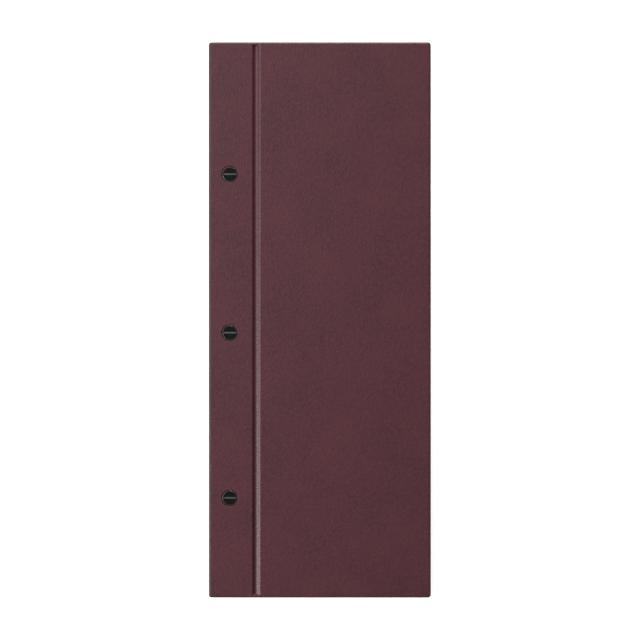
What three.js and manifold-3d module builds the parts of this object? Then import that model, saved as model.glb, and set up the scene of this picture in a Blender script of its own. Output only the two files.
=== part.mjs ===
// A post-bound coin album, millimetres, +Z up.
// It lies closed on its back cover: spine edge at low X, fore edge at high X, head at high Y.
// Two cloth-covered board covers bend on cloth joints beside a stiff binding strip. Three
// screw posts clamp the strips, the spacers and the tabs of the leaves. Each leaf is a card
// sandwich with coin openings, closed on both faces by clear slides that pull out sideways.
import * as THREE from "three";
import { mergeVertices } from "three/addons/utils/BufferGeometryUtils.js";
import Module from "manifold-3d";

// Covers
const coverLength = 363.5; // head to tail
const coverWidth = 145.5; // spine edge to fore edge
const bindingWidth = 27.8; // stiff strip that the posts clamp
const grooveWidth = 6.9; // cloth joint between the strip and the panel
const coverBoard = 2.4; // greyboard
const coverCloth = 0.4; // leather cloth
const coverLining = 0.25; // lining paper
const cornerRadius = 1.3;
const turnIn = 15; // cloth folded over onto the inside of a panel
const jointTurnIn = 6; // the same, beside the groove
const liningMargin = 3; // lining paper to the edge of the cover
const glue = 0.05; // film of paste between two layers

// Cloth joints of the covers
const jointCloth = 0.8; // outer cloth and inner joint strip pasted together
const bendInset = 0.1; // from a board's wrapped edge to the line that the cloth bends on
const bendGap = 0.2; // from that line to the stiff part of the joint cloth

// Screw posts
const postsFromHead = [86.4, 190.1, 298.1];
const postWall = 0.75; // wall of the post's barrel
const postClearance = 0.3; // between a post and the hole it passes through
const screwRadius = 1.5;
const screwClearance = 0.15; // between the screw's thread and the post's bore
const screwEngagement = 10; // length of screw inside the post
const headRadius = 4.75;
const headThickness = 1;
const headBevel = 0.35;
const headRecess = 0.6; // front cover pressed in under the screw head
const flangeThickness = 1; // post's flange, let into the back cover
const flangeRecess = 0.1; // flange below the back cover's surface
const slotWidth = 1.05;
const slotDepth = 0.6;
const slotLength = 8.3;

// Leaves
const leafCount = 2;
const leafCore = 3.6;
const faceCard = 0.4;
const leafGap = 0.3; // air between leaves, and between leaf and cover
const foreInset = 3; // leaf inside the cover's fore edge
const endInset = 3; // leaf inside the cover's head and tail
const leafCorner = 2;
const tabThickness = 1.6;
const tabInset = 2.5; // tabs and spacers inside the cover's spine edge
const tabReach = 2; // from the binding strip to the first crease
const creaseGap = 0.3; // tab or cloth kept clear of a crease
const coreSetback = 0.9; // leaf board kept back from its crease, so that it folds past square
const leafCloth = 0.5; // cloth that a leaf turns on
const leafClothWidth = 14.5; // crease to crease

// Coin openings and slides
const rowCount = 6;
const wellDiameter = 38.6; // holds a 38.1 coin
const windowLip = 0.8; // face card reaching inwards over the well's edge
const openingWall = 6; // least width of card between two openings
const slideThickness = 0.25;
const slideOverlap = 2.2; // slide past the well, on each side
const slideSideClearance = 0.5; // to each side of its channel
const slideFaceClearance = 0.05; // to the channel's floor
const channelDepth = 0.35;
const channelMargin = 3; // blind end of a channel to the core's hinge edge
const slideEndClearance = 0.3;
const slideInset = 0.1; // slide's end inside the leaf's fore edge
const notchRadius = 8; // thumb notches in the face cards
const notchDepth = 3;

// Fineness of round shapes
const holeSides = 14;
const headSides = 24;
const wellSides = 20;
const cornerSteps = 2;

// Making of the solids
const overcut = 1; // a cutting tool reaches this far past the face that it leaves by
const mergeDistance = 1e-4; // vertices nearer than this are one

// Heights and places that follow from those
const coverThickness = coverLining + 2 * coverCloth + coverBoard + 3 * glue;
const leafThickness = leafCore + 2 * (faceCard + glue);
const leafPitch = leafThickness + leafGap;
const frontInner = coverThickness + leafGap + leafCount * leafPitch;
const albumTop = frontInner + coverThickness;
const panelStart = bindingWidth + grooveWidth;
const firstCrease = bindingWidth + tabReach;
const secondCrease = firstCrease + leafClothWidth;
const coreStart = secondCrease + coreSetback;
const leafEnd = coverWidth - foreInset;
const leafWidth = leafEnd - coreStart;
const leafHalfLength = coverLength / 2 - endInset;
const postFromSpine = bindingWidth / 2;
const boreRadius = screwRadius + screwClearance;
const postRadius = boreRadius + postWall;
const holeRadius = postRadius + postClearance;
const recessRadius = headRadius + postClearance;
const postYs = postsFromHead.map((fromHead) => coverLength / 2 - fromHead);
const slideWidth = wellDiameter + 2 * slideOverlap;
const columnCount = Math.floor(leafWidth / (wellDiameter + openingWall));
const columnPitch = leafWidth / columnCount;
const rowPitch = (2 * leafHalfLength) / rowCount;

const wasm = await Module();
wasm.setup();

function toSolid(geometry) {
  const bare = new THREE.BufferGeometry();
  bare.setAttribute("position", geometry.getAttribute("position"));
  bare.setIndex(geometry.index);
  const merged = mergeVertices(bare, mergeDistance);
  const mesh = new wasm.Mesh({
    numProp: 3,
    vertProperties: merged.attributes.position.array,
    triVerts: new Uint32Array(merged.index.array),
  });
  return new wasm.Manifold(mesh);
}

function toGeometry(solid) {
  const mesh = solid.getMesh();
  const geometry = new THREE.BufferGeometry();
  geometry.setAttribute("position", new THREE.BufferAttribute(mesh.vertProperties, 3));
  geometry.setIndex(new THREE.BufferAttribute(mesh.triVerts, 1));
  return geometry;
}

function cut(body, tools) {
  const remainder = tools.reduce((solid, tool) => solid.subtract(toSolid(tool)), toSolid(body));
  return toGeometry(remainder);
}

function join(body, other) {
  return toGeometry(toSolid(body).add(toSolid(other)));
}

// A rectangle seen from above. Radii round its corners at the low X and the high X end.
function outline({ x0, x1, halfLength, lowRadius = 0, highRadius = 0 }) {
  const shape = new THREE.Shape();
  const quarter = Math.PI / 2;
  const corner = (x, y, radius, turn) => {
    if (radius > 0) shape.absarc(x, y, radius, turn * quarter, (turn + 1) * quarter, false);
    else shape.lineTo(x, y);
  };
  shape.moveTo(x1, 0);
  corner(x1 - highRadius, halfLength - highRadius, highRadius, 0);
  corner(x0 + lowRadius, halfLength - lowRadius, lowRadius, 1);
  corner(x0 + lowRadius, lowRadius - halfLength, lowRadius, 2);
  corner(x1 - highRadius, highRadius - halfLength, highRadius, 3);
  shape.closePath();
  return shape;
}

function circlePath(x, y, radius, sides) {
  const points = [];
  for (let i = 0; i < sides; i += 1) {
    const angle = (2 * Math.PI * i) / sides;
    points.push(new THREE.Vector2(x + radius * Math.cos(angle), y + radius * Math.sin(angle)));
  }
  return new THREE.Path(points);
}

// A flat sheet of the shape's outline between two heights.
function sheet(shape, bottom, top) {
  const geometry = new THREE.ExtrudeGeometry(shape, {
    depth: top - bottom,
    bevelEnabled: false,
    curveSegments: cornerSteps,
  });
  geometry.deleteAttribute("normal");
  geometry.deleteAttribute("uv");
  geometry.translate(0, 0, bottom);
  return mergeVertices(geometry, mergeDistance);
}

function box(x0, x1, y0, y1, z0, z1) {
  const geometry = new THREE.BoxGeometry(x1 - x0, y1 - y0, z1 - z0);
  return geometry.translate((x0 + x1) / 2, (y0 + y1) / 2, (z0 + z1) / 2);
}

function rod(x, y, radius, bottom, top, sides = holeSides) {
  const geometry = new THREE.CylinderGeometry(radius, radius, top - bottom, sides);
  return geometry.rotateX(Math.PI / 2).translate(x, y, (bottom + top) / 2);
}

// A rod through every post's place, for cutting holes.
function postRods(ys, radius, bottom, top) {
  return ys.map((y) => rod(postFromSpine, y, radius, bottom, top));
}

function piece(name, geometry, look) {
  const material = new THREE.MeshStandardMaterial({
    color: look.color,
    roughness: look.roughness,
    metalness: look.metalness,
    transparent: look.opacity !== undefined,
    opacity: look.opacity ?? 1,
  });
  const mesh = new THREE.Mesh(geometry, material);
  mesh.name = name;
  return mesh;
}

const looks = {
  leatherCloth: { color: 0x5a3a40, roughness: 0.62, metalness: 0 },
  greyBoard: { color: 0x8b857a, roughness: 0.92, metalness: 0 },
  liningPaper: { color: 0x3b2b2e, roughness: 0.85, metalness: 0 },
  blackScrew: { color: 0x1c1e1c, roughness: 0.42, metalness: 0.6 },
  coreBoard: { color: 0xb9ad98, roughness: 0.9, metalness: 0 },
  facePaper: { color: 0x4a3034, roughness: 0.78, metalness: 0 },
  hingeCloth: { color: 0x40292d, roughness: 0.8, metalness: 0 },
  clearSlide: { color: 0xdfe6ea, roughness: 0.12, metalness: 0, opacity: 0.35 },
};

// Covers. Their own frame has Z = 0 on the inside face and +Z towards the outside.
// The cloth starts above the lining, and the board lies in the cloth.
const clothBottom = coverLining + glue;
const boardBottom = clothBottom + coverCloth + glue;
const boardTop = boardBottom + coverBoard;

function clothOutline(section, inset) {
  return outline({
    x0: section.x0 + inset,
    x1: section.x1 - inset,
    halfLength: coverLength / 2 - inset,
    lowRadius: section.lowCorner ? cornerRadius - inset : 0,
    highRadius: section.highCorner ? cornerRadius - inset : 0,
  });
}

const bindingSection = { x0: 0, x1: bindingWidth, lowCorner: true };
const panelSection = { x0: panelStart, x1: coverWidth, highCorner: true };

function bindingStrip(side, ys, recessDepth) {
  const shell = sheet(clothOutline(bindingSection, 0), clothBottom, coverThickness);
  const hollow = sheet(clothOutline(bindingSection, coverCloth), boardBottom - glue, boardTop + glue);
  const holes = postRods(ys, holeRadius, -overcut, coverThickness + overcut);
  const recessFloor = coverThickness - recessDepth;
  const recesses = postRods(ys, recessRadius, recessFloor, coverThickness + overcut);
  const board = sheet(clothOutline(bindingSection, coverCloth + glue), boardBottom, boardTop);
  const liningShape = outline({
    x0: liningMargin,
    x1: bindingWidth,
    halfLength: coverLength / 2 - liningMargin,
  });
  const lining = sheet(liningShape, 0, coverLining);
  return [
    piece(`${side}_binding_cloth`, cut(shell, [hollow, ...holes, ...recesses]), looks.leatherCloth),
    piece(`${side}_binding_board`, cut(board, [...holes, ...recesses]), looks.greyBoard),
    piece(`${side}_binding_lining`, cut(lining, holes), looks.liningPaper),
  ];
}

function coverPanel(side) {
  const shell = sheet(clothOutline(panelSection, 0), clothBottom, coverThickness);
  const hollow = sheet(clothOutline(panelSection, coverCloth), boardBottom - glue, boardTop + glue);
  const windowShape = (clearance) =>
    outline({
      x0: panelStart + jointTurnIn + clearance,
      x1: coverWidth - turnIn - clearance,
      halfLength: coverLength / 2 - turnIn - clearance,
    });
  const window = sheet(windowShape(0), 0, boardBottom);
  const board = sheet(clothOutline(panelSection, coverCloth + glue), boardBottom, boardTop);
  const liningShape = outline({
    x0: panelStart + bendInset + bendGap,
    x1: coverWidth - liningMargin,
    halfLength: coverLength / 2 - liningMargin,
  });
  const infill = sheet(windowShape(creaseGap), coverLining / 2, boardBottom - glue);
  const lining = join(sheet(liningShape, 0, coverLining), infill);
  return [
    piece(`${side}_panel_cloth`, cut(shell, [hollow, window]), looks.leatherCloth),
    piece(`${side}_panel_board`, board, looks.greyBoard),
    piece(`${side}_panel_lining`, lining, looks.liningPaper),
  ];
}

function jointStrip(side) {
  const inset = bendInset + bendGap;
  const shape = outline({
    x0: bindingWidth + inset,
    x1: panelStart - inset,
    halfLength: coverLength / 2 - inset,
  });
  return piece(`${side}_joint_cloth`, sheet(shape, coverLining, coverLining + jointCloth), looks.leatherCloth);
}

function cover(side, ys, recessDepth) {
  const group = new THREE.Group();
  group.add(...bindingStrip(side, ys, recessDepth), jointStrip(side), ...coverPanel(side));
  return group;
}

// Screw posts. The flange is let into the back cover, the barrel stops inside the front one.
function post(name, y) {
  const flangeTop = flangeRecess + flangeThickness;
  const barrelTop = frontInner + boardTop - flangeThickness;
  const flange = rod(postFromSpine, y, headRadius, flangeRecess, flangeTop, headSides);
  const barrel = rod(postFromSpine, y, postRadius, flangeTop - glue, barrelTop);
  const bore = rod(postFromSpine, y, boreRadius, flangeTop, barrelTop + overcut);
  return piece(name, cut(join(flange, barrel), [bore]), looks.blackScrew);
}

// A screw is turned about its own axis, so it is made upright at the origin and then placed.
function screw(name, y) {
  const shankLength = screwEngagement + flangeThickness + coverCloth;
  const points = [
    new THREE.Vector2(0, -shankLength),
    new THREE.Vector2(screwRadius, -shankLength),
    new THREE.Vector2(screwRadius, 0),
    new THREE.Vector2(headRadius, 0),
    new THREE.Vector2(headRadius, headThickness - headBevel),
    new THREE.Vector2(headRadius - headBevel, headThickness),
    new THREE.Vector2(0, headThickness),
  ];
  const turned = new THREE.LatheGeometry(points, headSides).rotateX(Math.PI / 2);
  const half = slotLength / 2;
  const slotFloor = headThickness - slotDepth;
  const slot = box(-half, half, -slotWidth / 2, slotWidth / 2, slotFloor, headThickness + overcut);
  const mesh = piece(name, cut(turned, [slot]), looks.blackScrew);
  mesh.position.set(postFromSpine, y, albumTop - headRecess + glue);
  return mesh;
}

// Tabs and spacers, the strips that the posts clamp between the covers.
function clampedStrip(name, x1, bottom, top, look) {
  const shape = outline({
    x0: tabInset,
    x1,
    halfLength: leafHalfLength,
    lowRadius: leafCorner,
  });
  shape.holes = postYs.map((y) => circlePath(postFromSpine, y, holeRadius, holeSides));
  return piece(name, sheet(shape, bottom, top), look);
}

function leafMiddle(index) {
  return frontInner - leafGap - leafThickness / 2 - index * leafPitch;
}

function spacers() {
  const end = bindingWidth - creaseGap;
  const tabHalf = tabThickness / 2;
  const middles = Array.from({ length: leafCount }, (_, index) => leafMiddle(index));
  const tops = [frontInner, ...middles.map((middle) => middle - tabHalf)];
  const bottoms = [...middles.map((middle) => middle + tabHalf), coverThickness];
  return tops.map((top, index) => {
    const name = `spacer_${index + 1}`;
    return clampedStrip(name, end, bottoms[index] + glue, top - glue, looks.greyBoard);
  });
}

// Leaves. Their own frame has Z = 0 at mid-thickness.
const rowYs = Array.from({ length: rowCount }, (_, row) => ((rowCount - 1) / 2 - row) * rowPitch);
const columnXs = Array.from(
  { length: columnCount },
  (_, column) => coreStart + (column + 0.5) * columnPitch,
);
const channelStart = coreStart + channelMargin;

function leafOutline() {
  return outline({
    x0: coreStart,
    x1: leafEnd,
    halfLength: leafHalfLength,
    highRadius: leafCorner,
  });
}

function punched(shape, diameter) {
  columnXs.forEach((x) => {
    rowYs.forEach((y) => shape.holes.push(circlePath(x, y, diameter / 2, wellSides)));
  });
  return shape;
}

// The core carries a shallow channel for each slide, open at the fore edge.
function leafCoreBoard(name) {
  const half = leafCore / 2;
  const reach = slideWidth / 2 + slideSideClearance;
  const mouth = leafEnd + overcut;
  const channels = rowYs.flatMap((y) => [
    box(channelStart, mouth, y - reach, y + reach, half - channelDepth, half + overcut),
    box(channelStart, mouth, y - reach, y + reach, -half - overcut, channelDepth - half),
  ]);
  const board = sheet(punched(leafOutline(), wellDiameter), -half, half);
  return piece(name, cut(board, channels), looks.coreBoard);
}

// The thumb notches are half-round bites out of the fore edge.
function leafFaceCard(name, bottom) {
  const card = sheet(punched(leafOutline(), wellDiameter - 2 * windowLip), bottom, bottom + faceCard);
  const notchX = leafEnd + notchRadius - notchDepth;
  const top = bottom + faceCard + overcut;
  const notches = rowYs.map((y) => rod(notchX, y, notchRadius, bottom - overcut, top));
  return piece(name, cut(card, notches), looks.facePaper);
}

function leafSlide(name, y, bottom) {
  const x0 = channelStart + slideEndClearance;
  const x1 = leafEnd - slideInset;
  const half = slideWidth / 2;
  return piece(name, box(x0, x1, y - half, y + half, bottom, bottom + slideThickness), looks.clearSlide);
}

function leafHingeCloth(name) {
  const shape = outline({
    x0: firstCrease + creaseGap,
    x1: secondCrease - creaseGap,
    halfLength: leafHalfLength,
  });
  return piece(name, sheet(shape, -leafCloth / 2, leafCloth / 2), looks.hingeCloth);
}

function leaf(index) {
  const name = `leaf_${index + 1}`;
  const cardBottom = leafCore / 2 + glue;
  const slideBottom = leafCore / 2 - channelDepth + slideFaceClearance;
  const group = new THREE.Group();
  group.position.z = leafMiddle(index);
  group.add(
    clampedStrip(`${name}_tab`, firstCrease - creaseGap, -tabThickness / 2, tabThickness / 2, looks.coreBoard),
    leafHingeCloth(`${name}_hinge_cloth`),
    leafCoreBoard(`${name}_core`),
    leafFaceCard(`${name}_front_card`, cardBottom),
    leafFaceCard(`${name}_back_card`, -cardBottom - faceCard),
  );
  rowYs.forEach((y, row) => {
    const place = `slide_${row + 1}`;
    group.add(leafSlide(`${name}_front_${place}`, y, slideBottom));
    group.add(leafSlide(`${name}_back_${place}`, y, -slideBottom - slideThickness));
  });
  return group;
}

// The assembly, centred over its footprint.
const album = new THREE.Group();
album.position.x = -coverWidth / 2;

const frontCover = cover("front", postYs, headRecess);
frontCover.position.z = frontInner;

const backCover = cover(
  "back",
  postYs.map((y) => -y),
  flangeRecess + flangeThickness + glue,
);
backCover.rotation.x = Math.PI;
backCover.position.z = coverThickness;

album.add(frontCover, backCover, ...spacers());
for (let index = 0; index < leafCount; index += 1) album.add(leaf(index));
postYs.forEach((y, index) => {
  album.add(post(`post_${index + 1}`, y), screw(`screw_${index + 1}`, y));
});

export default album;
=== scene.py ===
# %% [markdown]
# # A coin album bound on screw posts
# This is a tall, narrow album. Two cloth-covered board covers hold two stiff leaves with
# openings for coins, and three black screw posts clamp everything along the spine.
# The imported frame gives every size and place. Here each piece gets its finished surface:
# leather cloth drawn over board, turned screws, punched card and clear slides.

# %% Load the fixed frame
import bmesh
import bpy
import math
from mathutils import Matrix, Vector


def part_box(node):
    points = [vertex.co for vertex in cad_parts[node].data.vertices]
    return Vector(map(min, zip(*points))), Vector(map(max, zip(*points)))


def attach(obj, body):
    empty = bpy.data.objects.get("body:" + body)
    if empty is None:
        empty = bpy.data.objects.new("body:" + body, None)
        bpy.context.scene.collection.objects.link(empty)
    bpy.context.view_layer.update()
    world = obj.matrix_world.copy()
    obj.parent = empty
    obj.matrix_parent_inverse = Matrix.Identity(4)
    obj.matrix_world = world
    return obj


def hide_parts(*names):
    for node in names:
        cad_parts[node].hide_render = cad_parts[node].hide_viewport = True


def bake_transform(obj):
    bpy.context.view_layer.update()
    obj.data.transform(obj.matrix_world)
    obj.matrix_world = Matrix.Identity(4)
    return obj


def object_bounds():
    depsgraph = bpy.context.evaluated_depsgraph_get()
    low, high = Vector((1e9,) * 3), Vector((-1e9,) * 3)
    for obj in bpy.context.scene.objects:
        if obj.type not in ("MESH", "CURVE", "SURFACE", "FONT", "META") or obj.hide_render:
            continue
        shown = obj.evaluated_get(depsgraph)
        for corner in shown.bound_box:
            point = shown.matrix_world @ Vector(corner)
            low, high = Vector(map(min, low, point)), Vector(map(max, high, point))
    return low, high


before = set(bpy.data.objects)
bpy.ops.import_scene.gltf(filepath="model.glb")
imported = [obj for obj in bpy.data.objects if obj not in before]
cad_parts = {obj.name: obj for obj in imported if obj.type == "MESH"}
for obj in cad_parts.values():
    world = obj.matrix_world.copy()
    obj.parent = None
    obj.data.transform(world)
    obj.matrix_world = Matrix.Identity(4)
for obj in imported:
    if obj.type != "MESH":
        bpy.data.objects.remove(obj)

MM = 0.001
cad_low, cad_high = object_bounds()
album_size = (cad_high - cad_low) / MM
print("album, mm:", [round(side, 2) for side in album_size])

# %% [markdown]
# ## Working by hand, in code
# Every piece starts as a block or a disc at its own size and place. Faces and edges are
# then picked by where they are or by which way they face, and the edit tools work on what
# is picked. A few helpers keep that readable: one makes a block, one picks, one cuts a
# shape away with another, and one rounds the shading off.

# %% Helpers for blocks, discs and picking
# Places closer than NEAR, in metres, are the same place. A face lies flat when its normal's
# z passes FLAT, and it is a wall when it stays within WALL.
NEAR = 1e-6
FLAT = 0.999
WALL = 0.1


def leave_edit():
    """Goes back to object mode, with nothing selected."""
    if bpy.context.mode != "OBJECT":
        bpy.ops.object.mode_set(mode="OBJECT")
    bpy.ops.object.select_all(action="DESELECT")


def only(obj):
    """Selects one object alone, in object mode."""
    leave_edit()
    obj.select_set(True)
    bpy.context.view_layer.objects.active = obj
    return obj


def named(name):
    """Gives the object just added its name, with its place moved into its mesh."""
    obj = bpy.context.object
    obj.name = obj.data.name = name
    bpy.ops.object.transform_apply(location=True, rotation=True, scale=True)
    return obj


def block(name, low, high):
    """A block between two opposite corners."""
    leave_edit()
    low, high = Vector(low), Vector(high)
    bpy.ops.mesh.primitive_cube_add(size=1, location=(low + high) / 2, scale=high - low)
    return named(name)


def disc(name, x, y, radius, bottom, top, sides=64):
    """An upright cylinder between two heights."""
    leave_edit()
    middle = (x, y, (bottom + top) / 2)
    bpy.ops.mesh.primitive_cylinder_add(
        vertices=sides, radius=radius, depth=top - bottom, location=middle
    )
    return named(name)


def pick(obj, kind, test):
    """In edit mode, selects the vertices, edges or faces that pass the test, and no others."""
    if bpy.context.object is not obj or bpy.context.mode != "EDIT_MESH":
        only(obj)
        bpy.ops.object.mode_set(mode="EDIT")
    bpy.ops.mesh.select_mode(type=kind)
    bpy.ops.mesh.select_all(action="DESELECT")
    mesh = bmesh.from_edit_mesh(obj.data)
    mesh.normal_update()
    parts = {"VERT": mesh.verts, "EDGE": mesh.edges, "FACE": mesh.faces}[kind]
    found = [part for part in parts if test(part)]
    for part in found:
        part.select_set(True)
    bmesh.update_edit_mesh(obj.data)
    return len(found)


def upright(edge):
    """True for an edge that rises more than it runs."""
    low, high = (vertex.co for vertex in edge.verts)
    return abs(low.z - high.z) > (low.xy - high.xy).length


def rim(side, walls=lambda normal: True):
    """A test for the edges between the flat top (side 1) or bottom (side -1) and the walls."""

    def test(edge):
        normals = [face.normal for face in edge.link_faces]
        flat = any(normal.z * side > FLAT for normal in normals)
        return flat and any(abs(normal.z) < WALL and walls(normal) for normal in normals)

    return test


def bevel(obj, test, width, segments):
    """Rounds off the edges that pass the test."""
    if pick(obj, "EDGE", test):
        bpy.ops.mesh.bevel(offset=width, segments=segments, affect="EDGES", clamp_overlap=False)


def slice_at(obj, axis, places):
    """Cuts a loop of edges round the piece at each place along an axis."""
    for place in places:
        pick(obj, "FACE", lambda face: True)
        point, normal = Vector(), Vector()
        point[axis], normal[axis] = place, 1
        bpy.ops.mesh.bisect(plane_co=point, plane_no=normal)


def cut_away(obj, tools):
    """Subtracts each tool from the piece, and throws the tool away."""
    for tool in tools:
        only(obj)
        modifier = obj.modifiers.new("cut", "BOOLEAN")
        modifier.object = tool
        modifier.operation = "DIFFERENCE"
        modifier.solver = "EXACT"
        bpy.ops.object.modifier_apply(modifier=modifier.name)
        bpy.data.objects.remove(tool)
    return obj


def joined(objects):
    """Makes several objects one."""
    only(objects[0])
    for obj in objects:
        obj.select_set(True)
    bpy.ops.object.join()
    return bpy.context.object


def copy_of(obj, name, offset):
    """A copy with its own mesh, moved by the offset."""
    made = obj.copy()
    made.data = obj.data.copy()
    made.name = made.data.name = name
    bpy.context.scene.collection.objects.link(made)
    made.location = Vector(offset)
    only(made)
    bpy.ops.object.transform_apply(location=True, rotation=True, scale=True)
    return made


def finish_surface(obj, material, angle=35):
    """Smooth shading that stops at sharp edges and keeps the large faces flat."""
    only(obj)
    bpy.ops.object.shade_smooth_by_angle(angle=math.radians(angle))
    modifier = obj.modifiers.new("flats", "WEIGHTED_NORMAL")
    modifier.keep_sharp = True
    bpy.ops.object.modifier_apply(modifier=modifier.name)
    if not obj.data.materials:
        obj.data.materials.append(material)
    return obj


# %% [markdown]
# ## Materials
# Each finish is a small network of nodes on object coordinates, so that a pattern stays
# put on its piece. Sizes of grain, weave and fibre are given in millimetres and turned
# into the scale that a texture node wants, which is how many cells fit in a metre.

# %% Helpers for node networks


def srgb(code):
    """A hex colour as linear red, green, blue and alpha."""
    channels = [int(code[i : i + 2], 16) / 255 for i in (1, 3, 5)]
    linear = [c / 12.92 if c <= 0.04045 else ((c + 0.055) / 1.055) ** 2.4 for c in channels]
    return (*linear, 1)


def cells(millimetres):
    """The scale of a texture whose cells are this wide."""
    return 1 / (millimetres * MM)


def add(tree, kind, inputs=None, **settings):
    """One node with its settings. An input is a value, or another node's output."""
    made = tree.nodes.new(kind)
    for name, value in settings.items():
        setattr(made, name, value)
    for name, value in (inputs or {}).items():
        if isinstance(value, bpy.types.NodeSocket):
            tree.links.new(value, made.inputs[name])
        else:
            made.inputs[name].default_value = value
    return made


def new_material(name):
    """A material, its node tree, and the object coordinates that its patterns follow."""
    material = bpy.data.materials.new(name)
    material.use_nodes = True
    tree = material.node_tree
    tree.nodes.clear()
    place = add(tree, "ShaderNodeTexCoord").outputs["Object"]
    return material, tree, place


def surface(tree, inputs):
    """The shader that the patterns feed, joined to the material's output."""
    shader = add(tree, "ShaderNodeBsdfPrincipled", inputs)
    add(tree, "ShaderNodeOutputMaterial", {"Surface": shader.outputs["BSDF"]})


def blend_of(tree, share, first, second):
    """A colour between two, as the share goes from 0 to 1."""
    mix = add(tree, "ShaderNodeMix", data_type="RGBA")
    for name, value in (("Factor_Float", share), ("A_Color", first), ("B_Color", second)):
        socket = next(s for s in mix.inputs if s.identifier == name)
        if isinstance(value, bpy.types.NodeSocket):
            tree.links.new(value, socket)
        else:
            socket.default_value = value
    return next(s for s in mix.outputs if s.identifier == "Result_Color")


def spread(tree, value, low, high):
    """Stretches a pattern's 0 to 1 over another range."""
    node = add(tree, "ShaderNodeMapRange", {"Value": value, "To Min": low, "To Max": high})
    return node.outputs["Result"]


# %% [markdown]
# ### Leather cloth
# The covers are drawn over with bookbinder's leather cloth: a coated cotton, dyed dark
# burgundy and pressed with a fine grain of rounded pebbles about a millimetre across. The
# coating gives a low, even sheen. Cells make the pebbles, and their outlines wander a
# little, so that they don't look like a net. A finer noise roughens them. A broad noise
# lets the dye run a little lighter and darker over the cover. In the pits between the
# pebbles the colour is darkened as painted shade.

# %% Leather cloth
PEBBLE = 1.1
PEBBLE_HEIGHT = 0.075
PEBBLE_SOFTNESS = 0.6
WANDER = 0.6
WANDER_SPACING = 3
FINE_GRAIN = 0.6
FINE_SHARE = 0.5
DYE_PATCH = 26
DYE_FLECK = 2.2
BURGUNDY_DEEP = "#37151c"
BURGUNDY_LIGHT = "#431a23"
BURGUNDY_FLECK = "#4b1f28"
# Painted shade: the colour put into the pits between the pebbles.
BURGUNDY_PIT_SHADE = "#280c13"


def leather_cloth():
    material, tree, place = new_material("embossed_leather_cloth")
    wander = add(
        tree,
        "ShaderNodeTexNoise",
        {"Vector": place, "Scale": cells(WANDER_SPACING), "Detail": 2},
    )
    bent = add(
        tree,
        "ShaderNodeVectorMath",
        {0: wander.outputs["Color"], 1: (WANDER * MM,) * 3, 2: place},
        operation="MULTIPLY_ADD",
    )
    pebbles = add(
        tree,
        "ShaderNodeTexVoronoi",
        {
            "Vector": bent.outputs["Vector"],
            "Scale": cells(PEBBLE),
            "Smoothness": PEBBLE_SOFTNESS,
        },
        feature="SMOOTH_F1",
    )
    fine = add(
        tree, "ShaderNodeTexNoise", {"Vector": place, "Scale": cells(FINE_GRAIN), "Detail": 3}
    )
    patch = add(
        tree, "ShaderNodeTexNoise", {"Vector": place, "Scale": cells(DYE_PATCH), "Detail": 3}
    )
    fleck = add(
        tree, "ShaderNodeTexNoise", {"Vector": place, "Scale": cells(DYE_FLECK), "Detail": 4}
    )
    grain = add(
        tree,
        "ShaderNodeMath",
        {0: fine.outputs["Fac"], 1: FINE_SHARE, 2: pebbles.outputs["Distance"]},
        operation="MULTIPLY_ADD",
    )
    run = spread(tree, patch.outputs["Fac"], -0.8, 1.8)
    broad = blend_of(tree, run, srgb(BURGUNDY_DEEP), srgb(BURGUNDY_LIGHT))
    dry = spread(tree, fleck.outputs["Fac"], -0.9, 1.5)
    flecked = blend_of(tree, dry, broad, srgb(BURGUNDY_FLECK))
    # Painted shade: the pits between the pebbles are darkened in the colour.
    pit_shade = spread(tree, pebbles.outputs["Distance"], 0, 0.3)
    colour = blend_of(tree, pit_shade, flecked, srgb(BURGUNDY_PIT_SHADE))
    bump = add(
        tree,
        "ShaderNodeBump",
        {"Height": grain.outputs["Value"], "Distance": PEBBLE_HEIGHT * MM, "Strength": 1},
        invert=True,
    )
    surface(
        tree,
        {
            "Base Color": colour,
            "Roughness": spread(tree, fine.outputs["Fac"], 0.36, 0.52),
            "Specular IOR Level": 0.36,
            "Normal": bump.outputs["Normal"],
        },
    )
    return material


leather = leather_cloth()
print("leather cloth:", len(leather.node_tree.nodes), "nodes")

# %% [markdown]
# ### Boards and papers
# Under the cloth is grey board, pressed from waste paper, so its face shows short fibres
# and its cut edge shows thin plies. The leaves have a core of buff pulp board, and the
# covers are lined with a dark paper. All three are fibres in a sheet, so one function
# makes them, with colours and a fibre size for each. Specks of other fibre lie among them,
# and broad clouds are where the sheet dried a little darker.

# %% Fibre boards and papers
CLOUD = 18
SPECKS_APART = 1.7
SPECK_SIZE = 0.12


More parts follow.
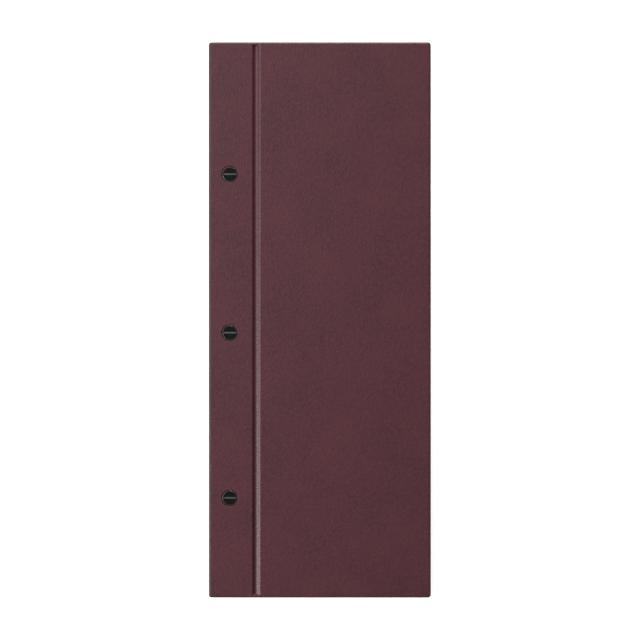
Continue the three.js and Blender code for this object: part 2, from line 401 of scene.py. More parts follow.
def fibre_sheet(name, dark, light, speck, fibre, ply, roughness, height):
    """Fibres lie in the plane of the sheet, so the pattern is squeezed along its thickness."""
    material, tree, place = new_material(name)
    squeezed = add(
        tree, "ShaderNodeMapping", {"Vector": place, "Scale": (1, 1, fibre / ply)}
    ).outputs["Vector"]
    fibres = add(
        tree,
        "ShaderNodeTexNoise",
        {"Vector": squeezed, "Scale": cells(fibre), "Detail": 5, "Roughness": 0.65},
    )
    clouds = add(
        tree, "ShaderNodeTexNoise", {"Vector": place, "Scale": cells(CLOUD), "Detail": 3}
    )
    specks = add(
        tree,
        "ShaderNodeTexVoronoi",
        {"Vector": squeezed, "Scale": cells(fibre * SPECKS_APART), "Randomness": 1},
    )
    body = blend_of(tree, fibres.outputs["Fac"], srgb(dark), srgb(light))
    cloudy = blend_of(tree, spread(tree, clouds.outputs["Fac"], 0, 0.35), body, srgb(dark))
    inside_speck = add(
        tree,
        "ShaderNodeMath",
        {0: specks.outputs["Distance"], 1: SPECK_SIZE},
        operation="LESS_THAN",
    )
    specked = spread(tree, inside_speck.outputs["Value"], 0, 0.6)
    colour = blend_of(tree, specked, cloudy, srgb(speck))
    bump = add(
        tree, "ShaderNodeBump", {"Height": fibres.outputs["Fac"], "Distance": height * MM}
    )
    surface(
        tree,
        {
            "Base Color": colour,
            "Roughness": spread(tree, fibres.outputs["Fac"], roughness - 0.06, roughness + 0.06),
            "Specular IOR Level": 0.3,
            "Normal": bump.outputs["Normal"],
        },
    )
    return material


grey_board = fibre_sheet("grey_board", "#7d776c", "#9a9488", "#5c564c", 1.1, 0.35, 0.9, 0.05)
core_board = fibre_sheet("buff_pulp_board", "#a89c86", "#c8bda6", "#8c7f66", 0.9, 0.3, 0.88, 0.04)
lining = fibre_sheet("laid_lining_paper", "#35262a", "#46343a", "#2a1c20", 1.4, 0.1, 0.82, 0.03)
print("fibre sheets:", [m.name for m in (grey_board, core_board, lining)])

# %% [markdown]
# ### Face card
# The card that faces each leaf is a smooth burgundy cover paper. A thin printed ring
# frames every opening, as album pages have, so that an empty opening still looks ruled.
# The rings are a pattern: the distance to the nearest opening's middle is folded out of
# the coordinates, and a narrow band of that distance takes the ink.

# %% Face card with printed rings
core_low, core_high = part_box("leaf_1_core")
leaf_rows = 6
leaf_columns = 2
pitch_x = (core_high.x - core_low.x) / leaf_columns
pitch_y = (core_high.y - core_low.y) / leaf_rows
RING_RADIUS = 20.4
RING_INK = 0.28
CARD_FIBRE = 0.8
CARD_TOOTH = 0.02
print("openings every", round(pitch_x / MM, 2), "by", round(pitch_y / MM, 2), "mm")


def face_card_paper():
    material, tree, place = new_material("printed_face_card")
    opening = Vector((core_low.x + pitch_x / 2, pitch_y / 2, 0))
    centred = add(tree, "ShaderNodeMapping", {"Vector": place, "Location": -opening})
    parts = add(tree, "ShaderNodeSeparateXYZ", {"Vector": centred.outputs["Vector"]})
    fold_x = add(
        tree, "ShaderNodeMath", {0: parts.outputs["X"], 1: pitch_x / 2}, operation="PINGPONG"
    )
    fold_y = add(
        tree, "ShaderNodeMath", {0: parts.outputs["Y"], 1: pitch_y / 2}, operation="PINGPONG"
    )
    cell = add(
        tree, "ShaderNodeCombineXYZ", {"X": fold_x.outputs["Value"], "Y": fold_y.outputs["Value"]}
    )
    far = add(tree, "ShaderNodeVectorMath", {0: cell.outputs["Vector"]}, operation="LENGTH")
    ring = add(
        tree,
        "ShaderNodeMath",
        {0: far.outputs["Value"], 1: RING_RADIUS * MM, 2: RING_INK * MM},
        operation="COMPARE",
    )
    fibres = add(
        tree, "ShaderNodeTexNoise", {"Vector": place, "Scale": cells(CARD_FIBRE), "Detail": 4}
    )
    paper = blend_of(tree, fibres.outputs["Fac"], srgb("#46292f"), srgb("#573339"))
    inked = add(
        tree,
        "ShaderNodeMath",
        {0: ring.outputs["Value"], 1: spread(tree, fibres.outputs["Fac"], 0.55, 1)},
        operation="MULTIPLY",
    )
    colour = blend_of(tree, inked.outputs["Value"], paper, srgb("#b79a6b"))
    bump = add(
        tree, "ShaderNodeBump", {"Height": fibres.outputs["Fac"], "Distance": CARD_TOOTH * MM}
    )
    surface(
        tree,
        {
            "Base Color": colour,
            "Roughness": spread(tree, fibres.outputs["Fac"], 0.6, 0.74),
            "Specular IOR Level": 0.35,
            "Normal": bump.outputs["Normal"],
        },
    )
    return material


face_card = face_card_paper()

# %% [markdown]
# ### Black metal and bare steel
# The screws and posts are turned from steel and chemically blackened, which leaves a
# dark, slightly uneven satin metal with fine scratches. A screwdriver has rubbed the black
# off the floor of each slot, and handling has rubbed it off the rim of each head, so there
# bare grey steel shows.

# %% Metals
SCRATCH = 0.25
SCRATCH_DEPTH = 0.008


def metal(name, dark, light, smooth, rough, patch):
    material, tree, place = new_material(name)
    blotch = add(tree, "ShaderNodeTexNoise", {"Vector": place, "Scale": cells(patch), "Detail": 4})
    scratch = add(
        tree, "ShaderNodeTexNoise", {"Vector": place, "Scale": cells(SCRATCH), "Detail": 2}
    )
    bump = add(
        tree,
        "ShaderNodeBump",
        {"Height": scratch.outputs["Fac"], "Distance": SCRATCH_DEPTH * MM},
    )
    surface(
        tree,
        {
            "Base Color": blend_of(tree, blotch.outputs["Fac"], srgb(dark), srgb(light)),
            "Metallic": 1,
            "Roughness": spread(tree, blotch.outputs["Fac"], smooth, rough),
            "Normal": bump.outputs["Normal"],
        },
    )
    return material


black_steel = metal("blackened_steel", "#101211", "#202321", 0.42, 0.56, 1.6)
bare_steel = metal("worn_bare_steel", "#4a4c4a", "#686a68", 0.4, 0.55, 0.9)
print("metals:", black_steel.name, bare_steel.name)

# %% [markdown]
# ### Hinge cloth
# The leaves turn on strips of buckram, a starched cotton. It is a plain weave, so two
# sets of threads cross. Real threads lie half a millimetre apart or less. The weave here
# repeats every three millimetres, which is several times too coarse in a close view.
# A wave texture runs through one cycle in a tenth of pi of its own units.

# %% Hinge cloth
WEAVE = 3.1416
WAVE_CYCLE = math.pi / 10
SLUB = 2.5
THREAD_HEIGHT = 0.05


def buckram():
    material, tree, place = new_material("woven_buckram")
    waves = [
        add(
            tree,
            "ShaderNodeTexWave",
            {"Vector": place, "Scale": WAVE_CYCLE * cells(WEAVE), "Distortion": 0},
            bands_direction=direction,
        ).outputs["Fac"]
        for direction in ("X", "Y")
    ]
    weave = add(tree, "ShaderNodeMath", {0: waves[0], 1: waves[1]}, operation="MAXIMUM")
    slub = add(
        tree, "ShaderNodeTexNoise", {"Vector": place, "Scale": cells(SLUB), "Detail": 3}
    )
    threads = blend_of(tree, weave.outputs["Value"], srgb("#2c1a1e"), srgb("#54353b"))
    thickened = spread(tree, slub.outputs["Fac"], 0, 0.6)
    colour = blend_of(tree, thickened, threads, srgb("#3c2429"))
    bump = add(
        tree,
        "ShaderNodeBump",
        {"Height": weave.outputs["Value"], "Distance": THREAD_HEIGHT * MM},
    )
    surface(
        tree,
        {
            "Base Color": colour,
            "Roughness": spread(tree, weave.outputs["Value"], 0.9, 0.74),
            "Sheen Weight": 0.15,
            "Sheen Roughness": 0.5,
            "Specular IOR Level": 0.3,
            "Normal": bump.outputs["Normal"],
        },
    )
    return material


hinge_cloth = buckram()
print("hinge cloth: the weave repeats every", round(WEAVE, 1), "mm")

# %% [markdown]
# ### Clear slides
# The slides are clear acetate sheet, a quarter of a millimetre thick. Light goes nearly
# straight through such a thin sheet, so a low alpha stands for it, with a clear gloss on
# top. Faint rubbing from being pulled in and out roughens the gloss in patches.

# %% Clear slides
RUB = 1.5
RUB_STRETCH = 0.15


def clear_acetate():
    material, tree, place = new_material("clear_acetate")
    along = add(tree, "ShaderNodeMapping", {"Vector": place, "Scale": (RUB_STRETCH, 1, 1)})
    rub = add(
        tree,
        "ShaderNodeTexNoise",
        {"Vector": along.outputs["Vector"], "Scale": cells(RUB), "Detail": 4},
    )
    surface(
        tree,
        {
            "Base Color": blend_of(tree, rub.outputs["Fac"], srgb("#dfe7ea"), srgb("#f3f6f6")),
            "Roughness": spread(tree, rub.outputs["Fac"], 0.03, 0.16),
            "IOR": 1.48,
            "Alpha": 0.16,
        },
    )
    return material


acetate = clear_acetate()
print("materials:", len(bpy.data.materials))

# %% [markdown]
# ## The covers
# A cover is a narrow binding board and a wide panel board, wrapped together in one piece
# of leather cloth. Between the boards the cloth is pressed down into a groove, and there
# it bends. The wall beside the binding board is the steeper one, and the far wall slopes
# up more gently to the panel. A narrow lip at the head and the tail, where the cloth is
# turned in, stays almost at full height.
# Two skins make it: one from the spine to the middle of the groove, and one from there to
# the fore edge. They meet at the groove's floor, where both lie flat, so no seam shows.
# Each skin starts as a block, gets its rounded rims, and is then sliced across the groove
# and pressed down loop by loop.
# All of it is made in a cover's own frame: z is 0 on the inside face and grows outwards.

# %% Cover sizes from the frame
binding_low, binding_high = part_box("front_binding_cloth")
panel_low, panel_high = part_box("front_panel_cloth")
front_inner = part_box("front_panel_lining")[0].z
cover_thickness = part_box("back_panel_lining")[1].z
cloth_bottom = binding_low.z - front_inner
lift = Vector((0, 0, front_inner))
board_low, board_high = (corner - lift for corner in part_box("front_panel_board"))
post_places = [((low + high) / 2).xy for low, high in (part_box(f"screw_{i}") for i in (1, 2, 3))]
half_length = panel_high.y

# %% The section across the groove
NEAR_TOP = 0.5 * MM
NEAR_WALL = 2.2 * MM
FLOOR_WIDTH = 0.5 * MM
FAR_WALL = 3.3 * MM
GROOVE_DEPTH = 1.5 * MM
LOOPS_A_WALL = 9
near_top = binding_high.x + NEAR_TOP
near_foot = near_top + NEAR_WALL
far_foot = near_foot + FLOOR_WIDTH
far_top = far_foot + FAR_WALL
seam = (near_foot + far_foot) / 2


def ease(share):
    """Goes smoothly from 0 to 1 as the share does, and stays there."""
    return 0.5 - 0.5 * math.cos(math.pi * min(1, max(0, share)))


def pressed(x):
    """0 over the boards, 1 on the groove's floor."""
    return ease((x - near_top) / NEAR_WALL) - ease((x - far_foot) / FAR_WALL)


def outer_height(x):
    """How far the leather's outer face stands over the cover's inside face."""
    return cover_thickness - GROOVE_DEPTH * pressed(x)


def stations(start, end):
    """The places of the loops across one wall of the groove."""
    steps = range(LOOPS_A_WALL + 1)
    return [start + (end - start) * step / LOOPS_A_WALL for step in steps]


print("groove:", [round(outer_height(x) / MM, 2) for x in stations(near_top, near_foot)])

# %% A leather skin
# LIP is the width of the lip at the head and tail. It sinks by LIP_PRESS of what the groove
# sinks. BOARD_FIT is the room left over and under a board.
CORNER = 1.9 * MM
RIM = 1.5 * MM
LIP = 2.4 * MM
LIP_PRESS = 0.1
UNDER_RIM = 0.22 * MM
CLOTH = 0.4 * MM
BOARD_FIT = 0.05 * MM


def press(skin, x, ratio, where):
    """Scales the loop at x towards the cloth's inner face, for the vertices where() accepts."""
    if pick(skin, "VERT", lambda v: abs(v.co.x - x) < NEAR and where(v)):
        bpy.ops.transform.resize(value=(1, 1, ratio), center_override=(x, 0, cloth_bottom))


def leather_skin(name, x0, x1, free_side, loops, hollow):
    """The cloth from x0 to x1. free_side is its outer end, -1 at the spine, 1 at the fore edge."""
    skin = block(name, (x0, -half_length, cloth_bottom), (x1, half_length, cover_thickness))
    outer_x = x0 if free_side < 0 else x1
    bevel(skin, lambda e: upright(e) and abs(e.verts[0].co.x - outer_x) < NEAR, CORNER, 5)
    outer = rim(1, lambda normal: normal.x * free_side > -0.5)
    under = rim(-1, lambda normal: normal.x * free_side > -0.5)
    bevel(skin, outer, RIM, 6)
    bevel(skin, under, UNDER_RIM, 2)
    slice_at(skin, 0, [x for x in loops if x0 + NEAR < x < x1 - NEAR])
    slice_at(skin, 1, [LIP - half_length, half_length - LIP])
    inner_end = half_length - LIP + NEAR
    for x in loops:
        sunk = (outer_height(x) - cloth_bottom) / (cover_thickness - cloth_bottom)
        press(skin, x, sunk, lambda v: abs(v.co.y) < inner_end)
        press(skin, x, 1 - LIP_PRESS * (1 - sunk), lambda v: abs(v.co.y) > inner_end)
    return cut_away(skin, [hollow])


def board_hollow(x0, x1):
    """The room for a board inside its skin, with the board's own softened edges."""
    low = (x0, CLOTH - half_length, board_low.z - BOARD_FIT)
    high = (x1, half_length - CLOTH, board_high.z + BOARD_FIT)
    hollow = block("hollow", low, high)
    bevel(hollow, upright, CORNER - CLOTH, 3)
    bevel(hollow, rim(1), RIM - CLOTH, 3)
    return hollow


# %% [markdown]
# ### Holes in the binding strip
# The posts pass through round holes. Round each one the leather is thick enough, as a
# collar sunk in the board, that leather and no grey board lines the recess. On the front
# the screw heads are pulled down hard, so the leather is pressed in round each one: a
# shallow cone, cut round the hole, makes that dished rim. On the back a plain round recess
# takes the post's flange.

# %% Tools for the holes
post_low, post_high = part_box("post_1")
HOLE_RADIUS = 2.7 * MM
RECESS_RADIUS = 5.05 * MM
RECESS_DEPTH = 1.15 * MM
COLLAR_RADIUS = 6.4 * MM
COLLAR_DEPTH = {"front": 1.1 * MM, "back": 1.7 * MM}
DISH_RADIUS = 5.6 * MM
DISH_FLOOR_RADIUS = 4.85 * MM
DISH_DEPTH = 0.6 * MM
OVERCUT = 1 * MM
album_top = front_inner + cover_thickness


def flipped(side, y):
    """The back cover is turned over about x, so along its own y the posts lie the other way."""
    return y if side == "front" else -y


def holes(side, radius, bottom, top):
    """One cutting tool with an upright cylinder at each post."""
    return joined(
        [disc("tool", x, flipped(side, y), radius, bottom, top, 48) for x, y in post_places]
    )


def dishes(side):
    """Shallow cones, wide end up, sunk in the outer face."""
    slope = (DISH_RADIUS - DISH_FLOOR_RADIUS) / DISH_DEPTH
    tall = DISH_DEPTH + OVERCUT
    cones = []
    for x, y in post_places:
        leave_edit()
        bpy.ops.mesh.primitive_cone_add(
            vertices=72,
            radius1=DISH_FLOOR_RADIUS,
            radius2=DISH_FLOOR_RADIUS + slope * tall,
            depth=tall,
            location=(x, flipped(side, y), cover_thickness - DISH_DEPTH + tall / 2),
        )
        cones.append(named("cone"))
    return joined(cones)


# %% Lay a cover's piece in its place


def lay(obj, side):
    """From the cover's own frame to the album: the front is raised, the back turned over."""
    only(obj)
    if side == "front":
        obj.location.z = front_inner
    else:
        obj.rotation_euler.x = math.pi
        obj.location.z = cover_thickness
    bpy.ops.object.transform_apply(location=True, rotation=True, scale=True)
    return obj


def dress(obj, body, slot, *cad_nodes):
    """A finished piece rides on its body and stands for its CAD nodes."""
    if body:
        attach(obj, body)
    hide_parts(*cad_nodes)
    print(obj.name, len(obj.data.polygons), "faces")
    return obj


# %% Leather over the binding strip
binding_loops = stations(near_top, near_foot) + [seam]


def binding_leather(side):
    hollow = board_hollow(binding_low.x + CLOTH, binding_high.x - CLOTH)
    collar_floor = cover_thickness - COLLAR_DEPTH[side]
    cut_away(hollow, [holes(side, COLLAR_RADIUS, collar_floor, cover_thickness)])
    name = f"{side}_binding_leather"
    skin = leather_skin(name, binding_low.x, seam, -1, binding_loops, hollow)
    above = cover_thickness + OVERCUT
    tools = [holes(side, HOLE_RADIUS, -OVERCUT, above)]
    if side == "front":
        tools.append(dishes(side))
    else:
        tools.append(holes(side, RECESS_RADIUS, cover_thickness - RECESS_DEPTH, above))
    cut_away(skin, tools)
    finish_surface(lay(skin, side), leather)
    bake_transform(skin)
    return dress(skin, None, "leather_cloth", f"{side}_binding_cloth", f"{side}_joint_cloth")


for side in ("front", "back"):
    binding_leather(side)

# %% Leather over the panel, turned in over the board's inner edges
TURN_IN = 15 * MM
JOINT_TURN_IN = 6 * MM
panel_loops = [seam] + stations(far_foot, far_top)


def turn_in_window():
    """Clears the middle of the inside face, where the turned-in cloth leaves the board bare."""
    low = (panel_low.x + JOINT_TURN_IN, TURN_IN - half_length, cloth_bottom - OVERCUT)
    high = (panel_high.x - TURN_IN, half_length - TURN_IN, board_low.z + BOARD_FIT)
    return block("window", low, high)


def panel_leather(side):
    hollow = board_hollow(panel_low.x + CLOTH, panel_high.x - CLOTH)
    skin = leather_skin(f"{side}_panel_leather", seam, panel_high.x, 1, panel_loops, hollow)
    cut_away(skin, [turn_in_window()])
    finish_surface(lay(skin, side), leather)
    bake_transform(skin)
    return dress(skin, None, "leather_cloth", f"{side}_panel_cloth")


for side in ("front", "back"):
    panel_leather(side)

# %% [markdown]
# ### Boards and linings
# The boards hardly show, but they carry the covers' thickness, so they are made too, with
# softened edges and with recesses for the leather collars. They are cut where they lie in
# the album, so the posts' places aren't turned over for them.
# The lining paper is pasted over the turned-in cloth. It drops into the window where the
# cloth stops, and the step shows through it as a soft line all round.

# %% Boards
BOARD_EDGE = 0.5 * MM


def cover_board(side, part, body):
    low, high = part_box(f"{side}_{part}_board")
    board = block(f"{side}_{part}_greyboard", low, high)
    bevel(board, upright, CORNER - CLOTH, 3)
    bevel(board, rim(1), BOARD_EDGE, 2)
    bevel(board, rim(-1), BOARD_EDGE, 2)
    if part == "binding":
        cut_away(board, [holes("front", HOLE_RADIUS, low.z - OVERCUT, high.z + OVERCUT)])
        reach = (low.z - OVERCUT, COLLAR_DEPTH[side])
        if side == "front":
            reach = (album_top - COLLAR_DEPTH[side], high.z + OVERCUT)
        cut_away(board, [holes("front", COLLAR_RADIUS, *reach)])
    finish_surface(board, grey_board)
    return dress(board, body, "grey_board", f"{side}_{part}_board")


for side in ("front", "back"):
    cover_board(side, "binding", "binding")
    cover_board(side, "panel", f"{side}_cover")

# %% Lining papers
PAPER = 0.25 * MM
PAPER_CORNER = 1 * MM
STEP = 0.6 * MM


def sunk_panel(paper, x0, x1, y1):
    """Slices the paper along the window's lines and sinks the middle by the cloth's thickness."""
    slice_at(paper, 0, [x0, x0 + STEP, x1 - STEP, x1])
    slice_at(paper, 1, [-y1, STEP - y1, y1 - STEP, y1])

    def inside(vertex):
        x, y, _ = vertex.co
        return x0 + STEP - NEAR < x < x1 - STEP + NEAR and abs(y) < y1 - STEP + NEAR

    pick(paper, "VERT", inside)
    bpy.ops.transform.translate(value=(0, 0, CLOTH - BOARD_FIT))


def cover_lining(side, part, body):
    low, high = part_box(f"{side}_{part}_lining")
    paper = block(f"{side}_{part}_endpaper", (low.x, low.y, 0), (high.x, high.y, PAPER))
    bevel(paper, lambda e: upright(e) and e.verts[0].co.x > 0, PAPER_CORNER, 3)
    if part == "panel":
        x0 = panel_low.x + JOINT_TURN_IN
        sunk_panel(paper, x0, panel_high.x - TURN_IN, half_length - TURN_IN)
    else:
        cut_away(paper, [holes(side, HOLE_RADIUS, -OVERCUT, PAPER + OVERCUT)])
    finish_surface(lay(paper, side), lining)
    return dress(paper, body, "lining_paper", f"{side}_{part}_lining")


for side in ("front", "back"):
    cover_lining(side, "binding", "binding")
    cover_lining(side, "panel", f"{side}_cover")

# %% [markdown]
# ## Screws and posts
# A screw post is a flanged tube and a slotted screw that meet through the whole album.
# Both are turned parts, so each starts as a disc. The screw's underside is inset to the
# shank and drawn down, with ridges of thread along it. The head's top is dressed down until
# it lies nearly flush with the leather. The slot is cut with a rounded block, and its floor
# and the head's bevelled edge take the bare steel. One screw and one post are shaped, and
# the other two of each are copies.

# %% The screw
screw_low, screw_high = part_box("screw_1")
HEAD_RADIUS = 4.75 * MM
HEAD_EDGE = 0.25 * MM
HEAD_DRESSED = 0.3 * MM
SHANK_RADIUS = 1.5 * MM
THREAD_PITCH = 0.6 * MM
THREAD_ROOT = 0.82
THREADED = 0.8
SLOT_LENGTH = 8.3 * MM
SLOT_WIDTH = 1.05 * MM
SLOT_ROUNDING = 0.45
SLOT_DEPTH = 0.45 * MM
SHANK_TO_SEAT = 11.4 * MM
head_seat = screw_low.z + SHANK_TO_SEAT


def draw_down(depth, ratio, x, y):
    """Extrudes the picked face downwards, and scales its new end about the axis."""
    bpy.ops.mesh.extrude_region_move(TRANSFORM_OT_translate={"value": (0, 0, -depth)})
    bpy.ops.transform.resize(value=(ratio, ratio, 1), center_override=(x, y, 0))


def screw():
    x, y = post_places[0]
    head_top = screw_high.z - HEAD_DRESSED
    made = disc("clamp_screw_1", x, y, HEAD_RADIUS, head_seat, head_top, 96)
    bevel(made, rim(1), HEAD_EDGE, 4)
    pick(made, "FACE", lambda f: f.normal.z < -FLAT)
    bpy.ops.mesh.inset(thickness=HEAD_RADIUS - SHANK_RADIUS, use_even_offset=True)
    threads = int(THREADED * SHANK_TO_SEAT / THREAD_PITCH)
    draw_down(SHANK_TO_SEAT - threads * THREAD_PITCH, THREAD_ROOT, x, y)
    for _ in range(threads):
        draw_down(THREAD_PITCH / 2, 1 / THREAD_ROOT, x, y)
        draw_down(THREAD_PITCH / 2, THREAD_ROOT, x, y)
    half = Vector((SLOT_LENGTH, SLOT_WIDTH, 0)) / 2
    floor = head_top - SLOT_DEPTH
    above = screw_high.z + OVERCUT
    slot = block("slot", Vector((x, y, floor)) - half, Vector((x, y, above)) + half)
    bevel(slot, upright, SLOT_WIDTH * SLOT_ROUNDING, 4)
    cut_away(made, [slot])
    made.data.materials.append(black_steel)
    made.data.materials.append(bare_steel)

    def worn(face):
        height = face.calc_center_median().z
        in_slot = face.normal.z > FLAT and abs(height - floor) < NEAR
        on_edge = WALL < face.normal.z < FLAT and height > head_top - HEAD_EDGE
        return in_slot or on_edge

    pick(made, "FACE", worn)
    made.active_material_index = 1
    bpy.ops.object.material_slot_assign()
    only(made)
    return finish_surface(made, black_steel)


def at_each_post(first, name, node, bodies):
    """The first piece stays at the first post, and a copy goes to each of the others."""
    for number, (body, place) in enumerate(zip(bodies, post_places), 1):
        here = first
        if number > 1:
            here = copy_of(first, f"{name}_{number}", (0, place.y - post_places[0].y, 0))
        dress(here, body, "black_metal", f"{node}_{number}")


at_each_post(screw(), "clamp_screw", "screw", ("screw_1", "screw_2", "screw_3"))

# %% The post
BARREL_RADIUS = 2.4 * MM
BORE_RADIUS = 1.65 * MM
FLANGE = 1.0 * MM
FLANGE_EDGE = 0.3 * MM
RING_INSET = 0.45 * HEAD_RADIUS
RING_WIDTH = 0.5 * MM
RING_DEPTH = 0.12 * MM
BORE_END = 0.2 * MM


def post():
    x, y = post_places[0]
    flange_top = post_low.z + FLANGE
    made = disc("clamp_post_1", x, y, HEAD_RADIUS, post_low.z, flange_top, 96)
    bevel(made, rim(-1), FLANGE_EDGE, 3)
    pick(made, "FACE", lambda f: f.normal.z < -FLAT)
    bpy.ops.mesh.inset(thickness=RING_INSET, use_even_offset=True)
    bpy.ops.mesh.inset(thickness=RING_WIDTH, depth=-RING_DEPTH, use_even_offset=True)
    pick(made, "FACE", lambda f: f.normal.z > FLAT)
    bpy.ops.mesh.inset(thickness=HEAD_RADIUS - BARREL_RADIUS, use_even_offset=True)
    draw_down(flange_top - post_high.z, 1, x, y)
    bpy.ops.mesh.inset(thickness=BARREL_RADIUS - BORE_RADIUS, use_even_offset=True)
    draw_down(post_high.z - flange_top - BORE_END, 1, x, y)
    return finish_surface(made, black_steel)


at_each_post(post(), "clamp_post", "post", ("binding",) * 3)

# %% [markdown]
# ## Tabs and spacers
# Between the covers the posts clamp a stack of strips. A thin tab belongs to each leaf,
# and spacers fill the rest, so that the spine is as thick as the leaves with coins in.
# They are cut from board with a guillotine and their holes are punched, so their edges are
# crisp and hardly softened. Only the two corners at the spine are rounded.

# %% Tabs and spacers
CUT_EDGE = 0.12 * MM
STRIP_CORNER = 2 * MM


def clamped_strip(name, node, material, slot):
    low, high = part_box(node)
    strip = block(name, low, high)
    bevel(strip, lambda e: upright(e) and e.verts[0].co.x < low.x + NEAR, STRIP_CORNER, 5)
    bevel(strip, rim(1), CUT_EDGE, 2)
    bevel(strip, rim(-1), CUT_EDGE, 2)
    cut_away(strip, [holes("front", HOLE_RADIUS, low.z - OVERCUT, high.z + OVERCUT)])
    finish_surface(strip, material)
    return dress(strip, "binding", slot, node)


for number in (1, 2, 3):
    clamped_strip(f"spine_spacer_{number}", f"spacer_{number}", grey_board, "grey_board")
for number in (1, 2):
    clamped_strip(f"leaf_{number}_binding_tab", f"leaf_{number}_tab", core_board, "core_board")

# %% [markdown]
# ## The leaves
# A leaf is a pulp board core between two face cards. Round wells are punched through the
# core for the coins, the cards have slightly smaller windows that frame them, and a
# shallow channel lets each clear slide in from the fore edge. All of that is punching and
# milling, so blocks are cut by discs and blocks, set out in rows and columns.

# %% The core board
WELL_RADIUS = 19.3 * MM
WINDOW_RADIUS = 18.5 * MM
LEAF_CORNER = 2 * MM
CHANNEL_DEPTH = 0.35 * MM
CHANNEL_WIDTH = 44 * MM
CHANNEL_SETBACK = 3 * MM
column_xs = [core_low.x + (column + 0.5) * pitch_x for column in range(leaf_columns)]
row_ys = [core_high.y - (row + 0.5) * pitch_y for row in range(leaf_rows)]
print("rows at", [round(y / MM, 1) for y in row_ys])


def punches(radius, bottom, top, sides):
    """One cutting tool with an upright cylinder at each opening of a leaf."""
    places = [(x, y) for x in column_xs for y in row_ys]
    return joined([disc("punch", x, y, radius, bottom, top, sides) for x, y in places])


def leaf_board(name, low, high):
    """The leaf's outline, cut square at the hinge and rounded at the fore edge."""
    board = block(name, low, high)
    bevel(board, lambda e: upright(e) and e.verts[0].co.x > high.x - NEAR, LEAF_CORNER, 6)
    return board


def core(number):
    low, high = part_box(f"leaf_{number}_core")
    made = leaf_board(f"leaf_{number}_pulp_core", low, high)
    bevel(made, rim(1), CUT_EDGE, 2)
    bevel(made, rim(-1), CUT_EDGE, 2)
    bottom, top = low.z - OVERCUT, high.z + OVERCUT
    channels = []
    for y in row_ys:
        for below, above in ((high.z - CHANNEL_DEPTH, top), (bottom, low.z + CHANNEL_DEPTH)):
            start = (low.x + CHANNEL_SETBACK, y - CHANNEL_WIDTH / 2, below)
            end = (high.x + OVERCUT, y + CHANNEL_WIDTH / 2, above)
            channels.append(block("channel", start, end))
    cut_away(made, [punches(WELL_RADIUS, bottom, top, 96), joined(channels)])
    finish_surface(made, core_board)
    return dress(made, f"leaf_{number}", "core_board", f"leaf_{number}_core")


for number in (1, 2):
    core(number)

# %% The face cards, with windows and thumb notches
NOTCH_RADIUS = 8 * MM
NOTCH_DEPTH = 3 * MM
CARD_EDGE = 0.08 * MM


def card(number, face):
    node = f"leaf_{number}_{face}_card"
    low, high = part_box(node)
    made = leaf_board(f"leaf_{number}_{face}_face", low, high)
    notch_x = high.x + NOTCH_RADIUS - NOTCH_DEPTH
    bottom, top = low.z - OVERCUT, high.z + OVERCUT
    notches = joined([disc("notch", notch_x, y, NOTCH_RADIUS, bottom, top, 64) for y in row_ys])
    cut_away(made, [punches(WINDOW_RADIUS, bottom, top, 96), notches])
    bevel(made, rim(1 if face == "front" else -1), CARD_EDGE, 1)
    finish_surface(made, face_card)
    return dress(made, f"leaf_{number}", "face_card", node)


for number in (1, 2):
    card(number, "front")
    card(number, "back")

# %% [markdown]
# ### Slides
# One slide is shaped as a pattern. All twenty-four are copies of it, each with its own
# mesh, and the pattern is thrown away. The corners that lead into the channel are rounded
# so that they don't catch, and the edges are only just softened.

# %% Slides
SLIDE_CORNER = 3 * MM
SLIDE_EDGE = 0.04 * MM
first_node = "leaf_1_front_slide_1"


def slide():
    low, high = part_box(first_node)
    made = block("clear_slide", low, high)
    bevel(made, lambda e: upright(e) and e.verts[0].co.x < low.x + NEAR, SLIDE_CORNER, 5)
    bevel(made, rim(1), SLIDE_EDGE, 1)
    bevel(made, rim(-1), SLIDE_EDGE, 1)
    return finish_surface(made, acetate)


pattern = slide()
for number in (1, 2):
    for face in ("front", "back"):
        for row in range(1, leaf_rows + 1):
            node = f"leaf_{number}_{face}_slide_{row}"
            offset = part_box(node)[0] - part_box(first_node)[0]
            made = copy_of(pattern, f"leaf_{number}_{face}_acetate_{row}", offset)
            dress(made, node, "clear_slide", node)
bpy.data.objects.remove(pattern)

# %% [markdown]
# ### Leaf hinges
# Each leaf turns on a strip of buckram that bends at two creases, one at the tab and one
# at the leaf's board. Two halves make it, as with the leather: each half holds one crease,
# and they meet in the flat stretch between. Loops lie close together at each crease.

# %% Leaf hinges
CREASE_LOOPS = 9
CREASE_ROOM = 1.0 * MM
CREASE_GAP = 0.3 * MM
tab_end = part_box("leaf_1_tab")[1].x
free_low, free_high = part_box("leaf_1_hinge_cloth")
cloth_middle = (free_low.x + free_high.x) / 2
tab_crease, leaf_crease = free_low.x - CREASE_GAP, free_high.x + CREASE_GAP
print("creases, mm:", round(tab_crease / MM, 2), round(leaf_crease / MM, 2))


def hinge_half(number, name, x0, x1, crease):
    low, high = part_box(f"leaf_{number}_hinge_cloth")
    half = block(f"leaf_{number}_{name}_buckram", (x0, low.y, low.z), (x1, high.y, high.z))
    steps = range(CREASE_LOOPS + 1)
    bends = [crease + CREASE_ROOM * (2 * step / CREASE_LOOPS - 1) for step in steps]
    slice_at(half, 0, [x for x in bends if x0 + NEAR < x < x1 - NEAR])
    finish_surface(half, hinge_cloth, 60)
    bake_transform(half)
    return dress(half, None, "hinge_cloth", f"leaf_{number}_hinge_cloth")


for number in (1, 2):
    hinge_half(number, "tab_side", tab_end, cloth_middle, tab_crease)
    hinge_half(number, "leaf_side", cloth_middle, core_low.x, leaf_crease)

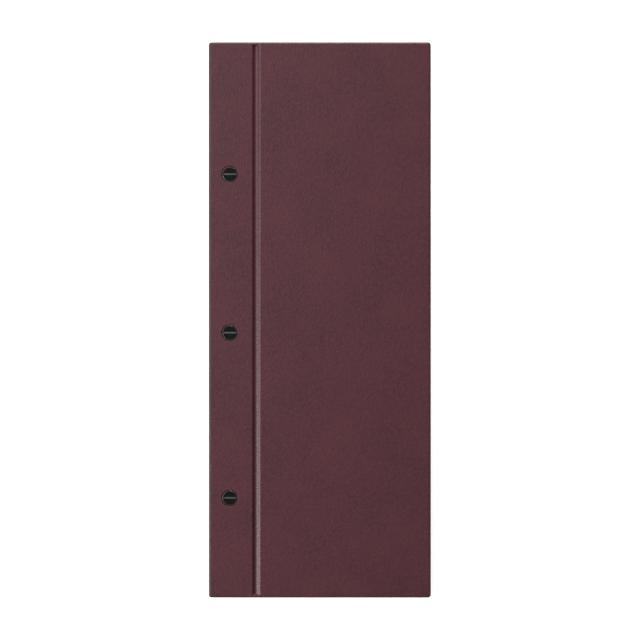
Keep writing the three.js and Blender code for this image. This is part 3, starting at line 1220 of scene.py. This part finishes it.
# %% [markdown]
# ## Light, floor and camera
# The album lies on an opal light table, a plain white sheet that glows a little, so its
# shadow on the table stays faint. Three soft lamps stand towards the spine and the head.
# A large high one lights the whole cover. Two small low ones rake across it: they
# brighten the rims and the far wall of the groove that face them, and leave the near wall
# dark. A white room fills the rest. A long lens straight above keeps the outline square.

# %% Floor
FLOOR_DROP = 0.4 * MM
FLOOR_HALF = 6
TABLE_GLOW = 0.65
TABLE_MOTTLE = 400


def light_table():
    material, tree, place = new_material("opal_light_table")
    mottle = add(
        tree, "ShaderNodeTexNoise", {"Vector": place, "Scale": cells(TABLE_MOTTLE), "Detail": 2}
    )
    colour = blend_of(tree, mottle.outputs["Fac"], srgb("#f4f4f4"), srgb("#f8f8f8"))
    glow = {"Emission Color": (1, 1, 1, 1), "Emission Strength": TABLE_GLOW}
    surface(tree, {"Base Color": colour, "Roughness": 0.9, "Specular IOR Level": 0.1, **glow})
    return material


leave_edit()
bpy.ops.mesh.primitive_plane_add(size=2 * FLOOR_HALF, location=(0, 0, cad_low.z - FLOOR_DROP))
floor = named("table")
floor.data.materials.append(light_table())
print("table", 2 * FLOOR_HALF, "m wide,", round(FLOOR_DROP / MM, 2), "mm under the album")

# %% Lights
ROOM = 0.36
room = bpy.data.worlds.new("white_room")
room.use_nodes = True
walls = room.node_tree.nodes["Background"]
walls.inputs["Color"].default_value = (1, 1, 1, 1)
walls.inputs["Strength"].default_value = ROOM
bpy.context.scene.world = room


def lamp(name, place, size, watts):
    """A square lamp that points at the middle of the album."""
    data = bpy.data.lights.new(name, "AREA")
    data.shape = "SQUARE"
    data.size = size
    data.energy = watts
    obj = bpy.data.objects.new(name, data)
    bpy.context.scene.collection.objects.link(obj)
    obj.location = place
    obj.rotation_euler = (-Vector(place)).to_track_quat("-Z", "Y").to_euler()


lamp("high_lamp", (-0.95, 0.5, 1.6), 1.0, 20)
lamp("spine_lamp", (-0.9, -0.3, 0.55), 0.4, 11)
lamp("head_lamp", (0.1, 1.0, 0.3), 0.4, 10)
print("lamps:", [light.name for light in bpy.data.lights])

# %% Camera
# LENS and SENSOR are in millimetres. FIELD is how much of the album's top plane is in view.
LENS = 200
SENSOR = 36
FAR_CLIP = 100
FIELD = 418.5 * MM
SIDESTEP = Vector((0.2, -0.06)) * MM
camera_data = bpy.data.cameras.new("camera")
camera_data.lens = LENS
camera_data.sensor_width = SENSOR
camera_data.clip_end = FAR_CLIP
camera = bpy.data.objects.new("camera", camera_data)
bpy.context.scene.collection.objects.link(camera)
camera.location = (*SIDESTEP, album_top + FIELD * LENS / SENSOR)
bpy.context.scene.camera = camera
bpy.context.scene.view_settings.view_transform = "Standard"
print("camera", round(camera.location.z, 3), "m up")
